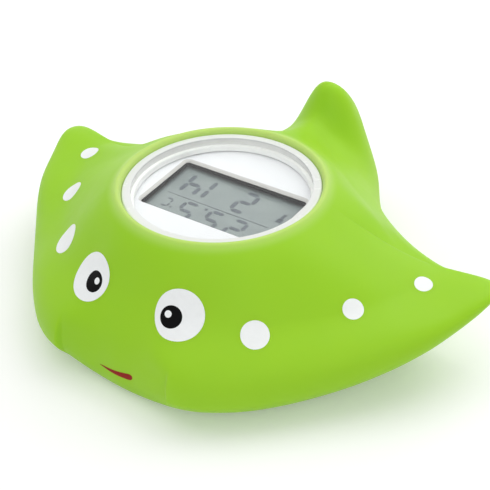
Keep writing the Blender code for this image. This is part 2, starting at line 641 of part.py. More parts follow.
# Module housings
groove_top = BEZEL_TOP - SEAL_BELOW_TOP
seal_centre = groove_top - SEAL_SECTION - GAP
groove_bottom = seal_centre - SEAL_SECTION - GAP
seal_major = BORE_RADIUS - GAP - SEAL_SECTION
groove_floor = seal_major - SEAL_SECTION - GAP
upper_housing = turned("upper_housing", (
    (STEP_INNER, UPPER_BOTTOM), (MODULE_RADIUS, UPPER_BOTTOM), (MODULE_RADIUS, groove_bottom),
    (groove_floor, groove_bottom), (groove_floor, groove_top), (MODULE_RADIUS, groove_top),
    (MODULE_RADIUS, HOUSING_TOP), (HOUSING_INNER, HOUSING_TOP), (HOUSING_INNER, STEP_Z),
    (STEP_INNER, STEP_Z)), "housing_white", 48)
turned("module_seal", [(seal_major + SEAL_SECTION * math.cos(math.radians(a)),
                        seal_centre + SEAL_SECTION * math.sin(math.radians(a)))
                       for a in range(0, 360, 60)], "seal_rubber", 40)

lower_housing = turned("lower_housing", (
    (0, FLOOR_LIFT), (MODULE_RADIUS, FLOOR_LIFT), (MODULE_RADIUS, LOWER_TOP), (HOUSING_INNER, LOWER_TOP),
    (HOUSING_INNER, FLOOR_TOP), (BAY_OUTER, FLOOR_TOP), (BAY_OUTER, BAY_CEILING + BAY_LID),
    (0, BAY_CEILING + BAY_LID)), "housing_white", 48)


def door_outline(radius, ear, count=9):
    """A round door with one ear on each side for its screw."""
    points = []
    meet = math.degrees(math.asin(ear / radius))
    for side in (0, 180):
        points += [(on_circle(ear, side + a)[0] + (DOOR_EAR_AT if side == 0 else -DOOR_EAR_AT),
                    on_circle(ear, side + a)[1]) for a in np.linspace(-90, 90, count)]
        points += [on_circle(radius, side + a) for a in np.linspace(meet, 180 - meet, 2 * count)]
    return points


screws = [on_circle(SCREW_CIRCLE, degrees) for degrees in SCREW_ANGLES]
door_screws = [(DOOR_EAR_AT, 0), (-DOOR_EAR_AT, 0)]
buttons = {"mode": on_circle(BUTTON_CIRCLE, BUTTON_ANGLES[0]), "set": on_circle(BUTTON_CIRCLE, BUTTON_ANGLES[1])}
sensor_at = on_circle(SENSOR_CIRCLE, 90)
head_top = FLOOR_LIFT + SCREW_HEAD_HIGH
screw_top = BOSS_TOP - BOSS_WALL - GAP
door_boss_top = DOOR_SCREW_LONG + 0.001

bosses = [(pillar(BOSS_RADIUS, FLOOR_LIFT + GAP, LOWER_TOP - GAP), 12, at) for at in screws]
bosses += [(pillar(DOOR_SCREW_SHANK + GAP + BOSS_WALL, DOOR_SEAT + GAP, door_boss_top), 12, at)
           for at in door_screws]
cut(lower_housing, cluster("lower_bosses", bosses), "UNION")
cut(lower_housing, prism("door_recess_cutter", door_outline(DOOR_RADIUS + GAP, DOOR_EAR_RADIUS + GAP),
                         -GAP, DOOR_SEAT))
cut(lower_housing, rod("bay_cutter", BAY_INNER, -2 * GAP, BAY_CEILING, segments=40))
holes = [(stepped(SCREW_HEAD + GAP, -GAP, head_top + GAP, SCREW_SHANK + GAP, LOWER_TOP + GAP), 12, at)
         for at in screws]
holes += [(pillar(DOOR_SCREW_SHANK + GAP, GAP, DOOR_SCREW_LONG + GAP), 10, at) for at in door_screws]
holes += [(pillar(BUTTON_RADIUS + SLIDE_FIT, GAP, FLOOR_TOP + GAP), 20, at) for at in buttons.values()]
holes += [(pillar(SENSOR_RADIUS + GAP, GAP, FLOOR_TOP + GAP), 20, sensor_at)]
cut(lower_housing, cluster("lower_holes", holes))

cut(upper_housing, cluster("upper_bosses", [(pillar(BOSS_RADIUS, UPPER_BOTTOM + GAP, BOSS_TOP), 12, at)
                                            for at in screws]), "UNION")
cut(upper_housing, cluster("upper_holes", [(pillar(SCREW_SHANK + GAP, UPPER_BOTTOM - GAP, screw_top + GAP),
                                            10, at) for at in screws]))
for number, at in enumerate(screws, 1):
    turned("housing_screw_%d" % number, stepped(SCREW_HEAD, FLOOR_LIFT, head_top, SCREW_SHANK, screw_top),
           "plated_steel", 10, (at[0], at[1], 0))

# Battery bay
turned("coin_cell", ((0, CELL_BOTTOM), (CELL_RADIUS, CELL_BOTTOM), (CELL_RADIUS, CELL_TOP), (0, CELL_TOP)),
       "plated_steel", 36)
block("contact_negative", (CELL_RADIUS, 0.003, CONTACT_THICK), (0, 0, CELL_TOP + GAP + CONTACT_THICK / 2),
      "plated_steel")
clip_inner = CELL_RADIUS + GAP
clip = [on_circle(clip_inner + CONTACT_THICK, a) for a in range(60, 121, 10)]
clip += [on_circle(clip_inner, a) for a in range(120, 59, -10)]
prism("contact_positive", clip, CELL_BOTTOM, CELL_TOP, "plated_steel")
battery_door = prism("battery_door", door_outline(DOOR_RADIUS, DOOR_EAR_RADIUS), 0.0, DOOR_THICK,
                     "housing_white")
gasket_z = DOOR_THICK + GAP
turned("door_gasket", ((BAY_INNER + GAP, gasket_z), (DOOR_RADIUS - GAP, gasket_z),
                       (DOOR_RADIUS - GAP, gasket_z + GASKET_THICK), (BAY_INNER + GAP, gasket_z + GASKET_THICK)),
       "seal_rubber", 40)
door_head_top = DOOR_THICK / 2
cut(battery_door, cluster("door_holes", [
    (stepped(DOOR_SCREW_HEAD + GAP, -GAP, door_head_top + GAP, DOOR_SCREW_SHANK + GAP, DOOR_THICK + GAP),
     12, at) for at in door_screws]))
for number, at in enumerate(door_screws, 1):
    turned("door_screw_%d" % number, stepped(DOOR_SCREW_HEAD, GAP, door_head_top, DOOR_SCREW_SHANK,
                                             DOOR_SCREW_LONG), "plated_steel", 10, (at[0], at[1], 0))

# Buttons, their switches and the sensor
button_bottom = FLOOR_LIFT + BUTTON_RECESS
flange_bottom = FLOOR_TOP + GAP
switch_bottom = BOARD_BOTTOM - GAP - SWITCH_HIGH
stem_top = switch_bottom - GAP - BUTTON_TRAVEL
for name, at in buttons.items():
    turned(name + "_button", (
        (0, button_bottom), (BUTTON_RADIUS, button_bottom), (BUTTON_RADIUS, flange_bottom),
        (BUTTON_RADIUS + BUTTON_FLANGE, flange_bottom),
        (BUTTON_RADIUS + BUTTON_FLANGE, flange_bottom + BUTTON_FLANGE_HIGH),
        (BUTTON_STEM, flange_bottom + BUTTON_FLANGE_HIGH), (BUTTON_STEM, stem_top), (0, stem_top)),
        "button_grey", 20, (at[0], at[1], 0))
    block(name + "_switch", (SWITCH_SIDE, SWITCH_SIDE, SWITCH_HIGH),
          (at[0], at[1], switch_bottom + SWITCH_HIGH / 2), "switch_black")

sensor_top = FLOOR_LIFT + SENSOR_HIGH
turned("sensor_cap", (
    (0, FLOOR_LIFT), (SENSOR_RADIUS, FLOOR_LIFT), (SENSOR_RADIUS, sensor_top),
    (SENSOR_RADIUS - SENSOR_WALL, sensor_top), (SENSOR_RADIUS - SENSOR_WALL, FLOOR_LIFT + SENSOR_WALL),
    (0, FLOOR_LIFT + SENSOR_WALL)), "sensor_steel", 20, (sensor_at[0], sensor_at[1], 0))
bead_bottom = FLOOR_LIFT + SENSOR_WALL + GAP
rod("thermistor", THERMISTOR_RADIUS, bead_bottom, sensor_top - GAP, "thermistor_epoxy", 12, sensor_at)
for number, sign in ((1, 1), (2, -1)):
    rod("sensor_lead_%d" % number, LEAD_RADIUS, sensor_top, BOARD_BOTTOM - GAP, "tinned_copper", 8,
        (sensor_at[0] + sign * LEAD_SPACING / 2, sensor_at[1]))
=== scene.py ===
"""Looks of the floating bath thermometer: a soft vinyl ray with a display module in its back."""

import json
import math

import bmesh
import bpy
import numpy as np
from mathutils import Matrix, Vector
from mathutils.bvhtree import BVHTree


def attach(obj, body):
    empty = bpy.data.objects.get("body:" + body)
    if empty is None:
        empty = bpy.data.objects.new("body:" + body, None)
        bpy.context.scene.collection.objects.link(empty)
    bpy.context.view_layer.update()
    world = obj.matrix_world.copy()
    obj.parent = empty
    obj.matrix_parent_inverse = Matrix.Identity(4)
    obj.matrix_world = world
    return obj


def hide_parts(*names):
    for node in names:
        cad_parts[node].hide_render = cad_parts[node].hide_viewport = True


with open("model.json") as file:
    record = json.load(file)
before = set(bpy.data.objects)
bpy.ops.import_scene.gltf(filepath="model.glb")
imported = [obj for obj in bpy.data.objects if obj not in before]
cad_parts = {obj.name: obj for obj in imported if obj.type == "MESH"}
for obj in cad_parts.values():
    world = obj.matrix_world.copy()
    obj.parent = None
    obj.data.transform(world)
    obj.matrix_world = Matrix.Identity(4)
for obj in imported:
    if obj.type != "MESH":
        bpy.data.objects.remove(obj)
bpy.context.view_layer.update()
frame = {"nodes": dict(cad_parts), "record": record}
MM = 0.001
BODY = "float"

# Sizes that repeat the CAD model's, in millimetres
MODULE_RADIUS = 22.5
LENS_TOP = 32.3
LENS_SKIRT = 0.9
PLATE_TOP = 27.6
PLATE_BOTTOM = 26.9
LIP_TOP = 33.8
LIP_WIDTH = 1.3
BORE_RADIUS = 23.0
LIP_RADIUS = BORE_RADIUS + LIP_WIDTH
FOOT_ROUND = 1.2
WINDOW_X, WINDOW_Y = 32.74, 18.9
DISPLAY_TURN = math.radians(3.3)  # the display sits slightly turned in its round module
TAIL_AT, TAIL_HALF_WIDTH = 45.4, 8.5
TAIL_FRONT, TAIL_BACK, TAIL_POWER = 6.1, 11.7, 3.0
CHIN_HALF_WIDTH, CHIN_FADE = 15.7, (16.0, 11.0)

# Sizes that differ a little from the CAD model's, in millimetres
BEZEL_INNER = 20.9
BEZEL_TOP = 32.7
LENS_THICK = 2.8
TAIL_HIGH = 11.36        # the finer skin reaches as high with a lower hill
CHIN_EDGE, CHIN_FLATNESS = 0.6, 0.65
NOSE_FROM, NOSE_SHARE = -38, 0.87  # the finer nose is drawn back to stay inside the CAD model's box
WINGS_SHARE = 0.999      # and so are the wings
WINDOW_SHARE, WINDOW_SHIFT = 0.974, 0.25  # window along y: its near side sits further in

# Shape of the body's sections
KNOT_POWER = 0.75        # spacing of the stations against their distance
LIP_SHOULDER = 0.35      # start of the skin below the lip's top, in shares of the lip's width
EDGE_PULL = 2.2          # roundness of the edge
FOOT_PULL = 1.1          # roundness towards the foot
TAIL_FADE = 0.4          # part of the rows above the edge in which the tail's rise runs out

# Lip beside the module
GRIP_RADIUS = MODULE_RADIUS + 0.06
LIP_ROUND_X, LIP_ROUND_Z = 0.95, 1.5
LIP_ROUND_ANGLES = (3, 20, 36, 50, 62, 73, 84)
LIP_CREST = ((1.1, 0.03), (1.35, 0.12), (1.58, 0.29))  # out from the grip, down from the top
BORE_STEPS = (8.0, 29.0)
GRIP_BOTTOM = 31.0
LIP_PAINTED_GLOW_FROM, LIP_PAINTED_GLOW_TO, LIP_PAINTED_GLOW_SHARE = 0.0228, 0.0262, 0.62  # where a pale glow is painted on the vinyl round the lip

# Right half of the body, nose to tail, the same as in the CAD model: widest point (x, y, z), belt
# (share of the way out, z, slope), reach of the edge (up, down), radius of the flat foot, slope
# beside the lip. The values were first set, then moved by a least-squares fit to the
# photograph's outline and rounded, and behind the wing tips partly set again.
STATIONS = (
    (0.0, -40.2, 5.7, 0.52, 22.0, 55.0, 10.0, 4.8, 36.0, 34.0),
    (6.5, -40.2, 6.0, 0.52, 22.0, 54.0, 10.0, 4.3, 36.2, 34.0),
    (14.6, -42.1, 7.5, 0.48, 21.3, 49.0, 10.0, 2.6, 34.8, 34.0),
    (21.6, -40.0, 7.5, 0.46, 21.4, 47.0, 10.0, 2.2, 34.6, 34.0),
    (31.1, -33.0, 8.4, 0.53, 21.5, 52.0, 9.8, 4.8, 34.2, 32.0),
    (39.3, -24.4, 9.6, 0.54, 21.3, 51.0, 8.8, 6.5, 33.2, 32.0),
    (48.0, -14.4, 11.9, 0.58, 20.9, 44.0, 7.8, 7.5, 32.0, 32.0),
    (56.1, -3.7, 15.2, 0.59, 21.2, 31.0, 7.0, 6.1, 31.0, 36.0),
    (60.4, 5.9, 18.0, 0.62, 21.3, 19.0, 4.8, 5.5, 30.0, 37.0),
    (62.3, 13.5, 20.0, 0.62, 21.7, 16.0, 4.0, 4.0, 30.0, 37.0),
    (60.5, 16.9, 19.7, 0.62, 21.6, 15.0, 3.2, 4.0, 30.0, 36.0),
    (53.3, 16.3, 18.7, 0.62, 22.3, 19.0, 3.2, 4.0, 30.0, 34.0),
    (45.7, 17.0, 18.3, 0.60, 24.2, 34.0, 4.1, 4.5, 30.0, 32.0),
    (39.0, 20.4, 16.8, 0.55, 25.9, 46.0, 4.6, 6.0, 30.0, 30.0),
    (31.4, 25.5, 15.6, 0.50, 25.9, 49.0, 4.4, 7.0, 30.0, 30.0),
    (22.9, 32.5, 14.3, 0.45, 26.0, 42.0, 4.8, 8.0, 31.0, 27.0),
    (15.6, 42.6, 13.5, 0.40, 26.3, 28.0, 5.2, 8.0, 34.0, 22.0),
    (9.6, 50.0, 13.0, 0.39, 28.0, 10.0, 11.0, 8.0, 38.0, 18.0),
    (0.0, 54.1, 12.8, 0.34, 31.4, 1.0, 8.4, 8.0, 40.0, 16.0),
)
COLUMNS = (8, 16)        # per station interval: most of the body, and beside the chin and tail
ROWS = (22, 26, 16)      # lip to belt, belt to edge, edge to foot


# Materials
def srgb(*colour):
    """sRGB 0 to 255 to linear."""
    return tuple(((c / 255 + 0.055) / 1.055) ** 2.4 if c > 10 else c / 255 / 12.92 for c in colour)


class Nodes:
    """A short way to write a node tree."""

    def __init__(self, name):
        self.mat = bpy.data.materials.new(name)
        self.mat.use_nodes = True
        self.tree = self.mat.node_tree
        self.bsdf = self.tree.nodes["Principled BSDF"]
        self.out = self.tree.nodes["Material Output"]

    def add(self, kind, links=None, **values):
        node = self.tree.nodes.new(kind)
        for key, value in values.items():
            setattr(node, key, value)
        for socket, source in (links or {}).items():
            self.put(node, socket, source)
        return node

    def put(self, node, socket, source):
        """Set a socket to a value, or link it to a node's first output or to a socket."""
        target = node.inputs[socket]
        if isinstance(source, bpy.types.Node):
            self.tree.links.new(source.outputs[0], target)
        elif isinstance(source, bpy.types.NodeSocket):
            self.tree.links.new(source, target)
        else:
            target.default_value = source

    def coords(self):
        return self.add("ShaderNodeTexCoord").outputs["Object"]

    def noise(self, scale, detail=4.0, rough=0.5, vector=None):
        return self.add("ShaderNodeTexNoise", {"Vector": vector or self.coords(), "Scale": scale,
                                               "Detail": detail, "Roughness": rough})

    def ramp(self, source, stops):
        node = self.add("ShaderNodeValToRGB", {"Fac": source})
        ramp = node.color_ramp
        while len(ramp.elements) < len(stops):
            ramp.elements.new(0.5)
        for element, (at, colour) in zip(ramp.elements, stops):
            element.position = at
            element.color = (*colour, 1.0) if len(colour) == 3 else colour
        return node

    def spread(self, source, low, high, lo_in=0.3, hi_in=0.7):
        return self.add("ShaderNodeMapRange", {"Value": source, "From Min": lo_in, "From Max": hi_in,
                                               "To Min": low, "To Max": high})

    def bump(self, height, strength, distance, under=None):
        links = {"Height": height, "Strength": strength, "Distance": distance}
        if under:
            links["Normal"] = under
        return self.add("ShaderNodeBump", links)


def moulded(name, colour, rough=0.4, scale=900.0, bump=0.05, coat=0.0, vary=0.03, specular=0.5):
    """Moulded plastic: a fine grain in the surface and a faint drift of colour and gloss."""
    n = Nodes(name)
    place = n.coords()
    drift = n.noise(60.0, 3.0, 0.5, place)
    base = srgb(*colour)
    low = tuple(c * (1 - vary) for c in base)
    high = tuple(min(1.0, c * (1 + vary)) for c in base)
    n.put(n.bsdf, "Base Color", n.ramp(drift, ((0.3, low), (0.7, high))))
    n.put(n.bsdf, "Roughness", n.spread(n.noise(260.0, 4.0, 0.6, place), rough - 0.05, rough + 0.05))
    n.put(n.bsdf, "Normal", n.bump(n.noise(scale, 3.0, 0.6, place), bump, 0.0002))
    n.bsdf.inputs["Coat Weight"].default_value = coat
    n.bsdf.inputs["Coat Roughness"].default_value = 0.12
    n.bsdf.inputs["Specular IOR Level"].default_value = specular
    return n.mat


def metal(name, colour, rough=0.25, brushed=False):
    """Plated or plain metal with a fine grain, drawn out along one axis where it is brushed."""
    n = Nodes(name)
    place = n.coords()
    if brushed:
        place = n.add("ShaderNodeMapping", {"Vector": place, "Scale": (1.0, 14.0, 14.0)}).outputs[0]
    grain = n.noise(420.0, 5.0, 0.65, place)
    base = srgb(*colour)
    n.put(n.bsdf, "Base Color", n.ramp(grain, ((0.3, tuple(c * 0.86 for c in base)), (0.7, base))))
    n.put(n.bsdf, "Roughness", n.spread(grain, rough - 0.07, rough + 0.08))
    n.put(n.bsdf, "Normal", n.bump(grain, 0.06, 0.0001))
    n.bsdf.inputs["Metallic"].default_value = 1.0
    return n.mat


def vinyl():
    """Soft PVC: dense colour, light that goes a little way in, satin skin with a slight orange peel, and a
    painted glow round the lip.
    """
    n = Nodes("soft_green_vinyl")
    place = n.coords()
    drift = n.noise(22.0, 3.0, 0.5, place)
    green = n.ramp(drift, ((0.25, srgb(153, 210, 17)), (0.75, srgb(162, 216, 29))))
    # Painted light: a pale glow is painted on the green round the lip
    flat = n.add("ShaderNodeVectorMath", {0: place, 1: (1.0, 1.0, 0.0)}, operation="MULTIPLY")
    reach = n.add("ShaderNodeVectorMath", {0: flat}, operation="LENGTH").outputs["Value"]
    painted_lip_glow = n.add("ShaderNodeMapRange", {"Value": reach, "From Min": LIP_PAINTED_GLOW_FROM,
                                        "From Max": LIP_PAINTED_GLOW_TO, "To Min": LIP_PAINTED_GLOW_SHARE, "To Max": 0.0},
                 interpolation_type="SMOOTHSTEP")
    green_with_painted_glow = n.add("ShaderNodeMix", data_type="RGBA")
    n.put(green_with_painted_glow, 0, painted_lip_glow)
    n.put(green_with_painted_glow, 6, green)
    green_with_painted_glow.inputs[7].default_value = (*srgb(214, 236, 150), 1.0)
    n.put(n.bsdf, "Base Color", green_with_painted_glow.outputs[2])
    n.put(n.bsdf, "Roughness", n.spread(n.noise(150.0, 4.0, 0.6, place), 0.47, 0.55))
    peel = n.bump(n.noise(420.0, 2.0, 0.5, place), 0.05, 0.0004)
    n.put(n.bsdf, "Normal", n.bump(n.noise(2600.0, 2.0, 0.5, place), 0.04, 0.0001, peel))
    n.bsdf.inputs["Subsurface Weight"].default_value = 0.35
    n.bsdf.inputs["Subsurface Radius"].default_value = (1.0, 1.2, 0.25)
    n.bsdf.inputs["Subsurface Scale"].default_value = 0.003
    n.bsdf.inputs["Specular IOR Level"].default_value = 0.34
    n.bsdf.inputs["Sheen Weight"].default_value = 0.04
    n.bsdf.inputs["Sheen Roughness"].default_value = 0.5
    return n.mat


def ink(name, colour, rough=0.36, specular=0.5):
    """Pad-printed ink: a satin film with fine mottling."""
    n = Nodes(name)
    place = n.coords()
    base = srgb(*colour)
    mottle = n.noise(700.0, 5.0, 0.7, place)
    n.put(n.bsdf, "Base Color", n.ramp(mottle, ((0.3, tuple(c * 0.965 for c in base)), (0.6, base))))
    n.put(n.bsdf, "Roughness", n.spread(mottle, rough - 0.05, rough + 0.06))
    n.put(n.bsdf, "Normal", n.bump(n.noise(420.0, 2.0, 0.5, place), 0.05, 0.0003))
    n.bsdf.inputs["Specular IOR Level"].default_value = specular
    return n.mat


def clear(name, rough=0.015):
    """Clear plastic that lets the lamps' light through to the plate below."""
    n = Nodes(name)
    grain = n.noise(300.0, 3.0, 0.5)
    n.put(n.bsdf, "Roughness", n.spread(grain, rough * 0.5, rough * 1.5))
    n.bsdf.inputs["Base Color"].default_value = (0.985, 0.995, 0.987, 1.0)
    n.bsdf.inputs["Transmission Weight"].default_value = 1.0
    n.bsdf.inputs["IOR"].default_value = 1.3
    path = n.add("ShaderNodeLightPath")
    open_light = n.add("ShaderNodeBsdfTransparent", {"Color": (0.985, 0.99, 0.985, 1.0)})
    mix = n.add("ShaderNodeMixShader", {0: path.outputs["Is Shadow Ray"], 1: n.bsdf, 2: open_light})
    n.put(n.out, "Surface", mix)
    return n.mat


def plate_plastic():
    """White plate: fine matt grain, with painted shade in grey on the window's bevel and below the plate's
    top.
    """
    n = Nodes("plate_plastic")
    place = n.coords()
    drift = n.noise(60.0, 3.0, 0.5, place)
    white = n.ramp(drift, ((0.3, srgb(236, 237, 240)), (0.7, srgb(240, 241, 244))))
    # Painted shade: all below the plate's top, the window's bevel and wall among it, is painted grey
    height = n.add("ShaderNodeSeparateXYZ", {0: place}).outputs[2]
    above_painted_bevel_shade = n.add("ShaderNodeMapRange", {"Value": height, "From Min": (PLATE_TOP - 0.10) * MM,
                                               "From Max": (PLATE_TOP - 0.02) * MM,
                                               "To Min": 0.0, "To Max": 1.0})
    painted_shade_mix = n.add("ShaderNodeMix", data_type="RGBA")
    n.put(painted_shade_mix, 0, above_painted_bevel_shade)
    painted_shade_mix.inputs[6].default_value = (*srgb(206, 204, 201), 1.0)
    n.put(painted_shade_mix, 7, white)
    n.put(n.bsdf, "Base Color", painted_shade_mix.outputs[2])
    n.put(n.bsdf, "Roughness", n.spread(n.noise(260.0, 4.0, 0.6, place), 0.36, 0.46))
    n.put(n.bsdf, "Normal", n.bump(n.noise(1400.0, 3.0, 0.6, place), 0.04, 0.0002))
    return n.mat


def display_face():
    """The liquid crystal panel: grey green, a little uneven, under a smooth glass face, with a painted
    shadow round its border.
    """
    n = Nodes("display_face")
    place = n.coords()
    cloud = n.noise(120.0, 4.0, 0.6, place)
    face = n.ramp(cloud, ((0.25, srgb(116, 127, 127)), (0.75, srgb(131, 141, 139))))
    # Painted shadow: the cell is painted darker towards its border, as the frame's shadow on it
    own = n.add("ShaderNodeVectorRotate", {"Vector": place, "Angle": -DISPLAY_TURN}, rotation_type="Z_AXIS")
    split = n.add("ShaderNodeSeparateXYZ", {0: own})
    far = []
    for axis, half in ((0, WINDOW_X / 2), (1, WINDOW_Y / 2)):
        off = n.add("ShaderNodeMath", {0: split.outputs[axis]}, operation="ABSOLUTE")
        far.append(n.add("ShaderNodeMath", {0: off, 1: half * MM}, operation="SUBTRACT"))
    edge = n.add("ShaderNodeMath", {0: far[0], 1: far[1]}, operation="MAXIMUM")
    shade = n.add("ShaderNodeMapRange", {"Value": edge, "From Min": -0.0012, "From Max": 0.0006,
                                         "To Min": 0.0, "To Max": 1.0}, interpolation_type="SMOOTHSTEP")
    painted_shade_mix = n.add("ShaderNodeMix", data_type="RGBA", blend_type="MIX")
    n.put(painted_shade_mix, 0, shade)
    n.put(painted_shade_mix, 6, face)
    painted_shade_mix.inputs[7].default_value = (*srgb(40, 41, 46), 1.0)
    n.put(n.bsdf, "Base Color", painted_shade_mix.outputs[2])
    n.put(n.bsdf, "Roughness", n.spread(n.noise(900.0, 3.0, 0.5, place), 0.3, 0.38))
    n.bsdf.inputs["Coat Weight"].default_value = 0.6
    n.bsdf.inputs["Coat Roughness"].default_value = 0.06
    return n.mat


MATERIALS = {
    "green_vinyl": vinyl(),
    "eye_white_print": ink("eye_white_ink", (251, 254, 254)),
    "dot_print": ink("dot_ink", (251, 254, 253)),
    "pupil_print": ink("pupil_ink", (3, 3, 4), 0.42, 0.08),
    "mouth_print": ink("mouth_ink", (152, 20, 16), 0.42, 0.15),
    "white_bezel": moulded("bezel_plastic", (238, 240, 238), 0.24, coat=0.25, bump=0.02),
    "clear_lens": clear("lens_plastic"),
    "white_plate": plate_plastic(),
    "black_frame": moulded("frame_plastic", (16, 16, 18), 0.6, specular=0.15),
    "display_glass": display_face(),
    "reflector_film": metal("reflector_foil", (205, 208, 205), 0.35),
    "contact_rubber": moulded("contact_strip_rubber", (66, 64, 66), 0.7, scale=1600.0, bump=0.2),
    "board_green": moulded("board_mask", (28, 92, 54), 0.35, coat=0.4, vary=0.12),
    "chip_resin": moulded("chip_resin_gloss", (20, 20, 22), 0.25, coat=0.3),
    "component_tan": moulded("capacitor_ceramic", (178, 142, 98), 0.5, vary=0.1),
    "switch_black": moulded("switch_plastic", (34, 34, 36), 0.5),
    "housing_white": moulded("housing_plastic", (230, 231, 228), 0.42, scale=1100.0, bump=0.12, vary=0.02),
    "seal_rubber": moulded("seal_rubber_soft", (52, 52, 54), 0.65, scale=1800.0, bump=0.2),
    "plated_steel": metal("nickel_plate", (200, 200, 204), 0.24),
    "sensor_steel": metal("stainless_cap", (206, 206, 204), 0.2, brushed=True),
    "tinned_copper": metal("tinned_wire", (196, 196, 198), 0.3),
    "thermistor_epoxy": moulded("epoxy_bead", (26, 24, 24), 0.3, coat=0.5),
    "button_grey": moulded("button_rubber", (150, 156, 160), 0.6, scale=1500.0, bump=0.15),
}
for part in frame["record"]["subparts"]:
    node = frame["nodes"][part["node"]]
    node.data.materials.clear()
    node.data.materials.append(MATERIALS[part["material_slot"]])


# Mesh helpers
def piece(name, bm, mat, nodes=(), smooth=40.0, body=BODY):
    """A finished piece: outward faces, one material, riding its body, standing for its nodes."""
    bmesh.ops.recalc_face_normals(bm, faces=bm.faces)
    mesh = bpy.data.meshes.new(name)
    bm.to_mesh(mesh)
    bm.free()
    mesh.shade_smooth()
    mesh.set_sharp_from_angle(angle=math.radians(smooth))
    obj = bpy.data.objects.new(name, mesh)
    bpy.context.scene.collection.objects.link(obj)
    mesh.materials.append(MATERIALS[mat] if isinstance(mat, str) else mat)
    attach(obj, body)
    if nodes:
        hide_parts(*nodes)


def grid_mesh(grid, close_rows=False):
    """Faces between the points of a grid [row, column, xyz] that closes round its columns."""
    bm = bmesh.new()
    rows, columns = grid.shape[:2]
    verts = [[bm.verts.new(p) for p in row] for row in grid]
    for i in range(rows if close_rows else rows - 1):
        for j in range(columns):
            n, m = (i + 1) % rows, (j + 1) % columns
            bm.faces.new((verts[i][j], verts[i][m], verts[n][m], verts[n][j]))
    return bm


def turned(profile, segments=96):
    """Grid of a closed (radius, height) outline in millimetres, spun round Z."""
    angles = np.linspace(0, 2 * np.pi, segments, endpoint=False)
    return np.array([[(r * MM * math.cos(a), r * MM * math.sin(a), z * MM) for a in angles]
                     for r, z in profile])


def arc(cx, cz, radius, start, end, count=6):
    """Points of a fillet, angles in degrees."""
    return [(cx + radius * math.cos(math.radians(a)), cz + radius * math.sin(math.radians(a)))
            for a in np.linspace(start, end, count)]


# Vinyl body
def closed_spline(knots, values, period, wanted):
    """Periodic cubic through the values, with continuous curvature."""
    count = len(knots)
    span = np.diff(np.append(knots, knots[0] + period))
    matrix = np.zeros((count, count))
    right_side = np.zeros(values.shape)
    for i in range(count):
        before, after = span[i - 1], span[i]
        matrix[i, i - 1] += before
        matrix[i, i] += 2 * (before + after)
        matrix[i, (i + 1) % count] += after
        right_side[i] = 6 * ((values[(i + 1) % count] - values[i]) / after
                             - (values[i] - values[i - 1]) / before)
    second = np.linalg.solve(matrix, right_side)
    ends = np.append(knots, knots[0] + period)
    k = np.clip(np.searchsorted(ends, wanted, side="right") - 1, 0, count - 1)
    width = span[k][:, None]
    a = (ends[k + 1] - wanted)[:, None] / width
    b = 1 - a
    nxt = (k + 1) % count
    return (a * values[k] + b * values[nxt]
            + ((a ** 3 - a) * second[k] + (b ** 3 - b) * second[nxt]) * width ** 2 / 6)


def cubic_arc(start, end, leave, arrive, share):
    """Cubic from start to end with the given tangents, at each share of the way."""
    s = share[:, None, None]
    return ((2 * s ** 3 - 3 * s ** 2 + 1) * start + (s ** 3 - 2 * s ** 2 + s) * leave
            + (-2 * s ** 3 + 3 * s ** 2) * end + (s ** 3 - s ** 2) * arrive)


def downhill(degrees):
    """Directions (out, up) that fall by these angles."""
    angle = np.radians(degrees)
    return np.stack([np.cos(angle), -np.sin(angle)], axis=1)


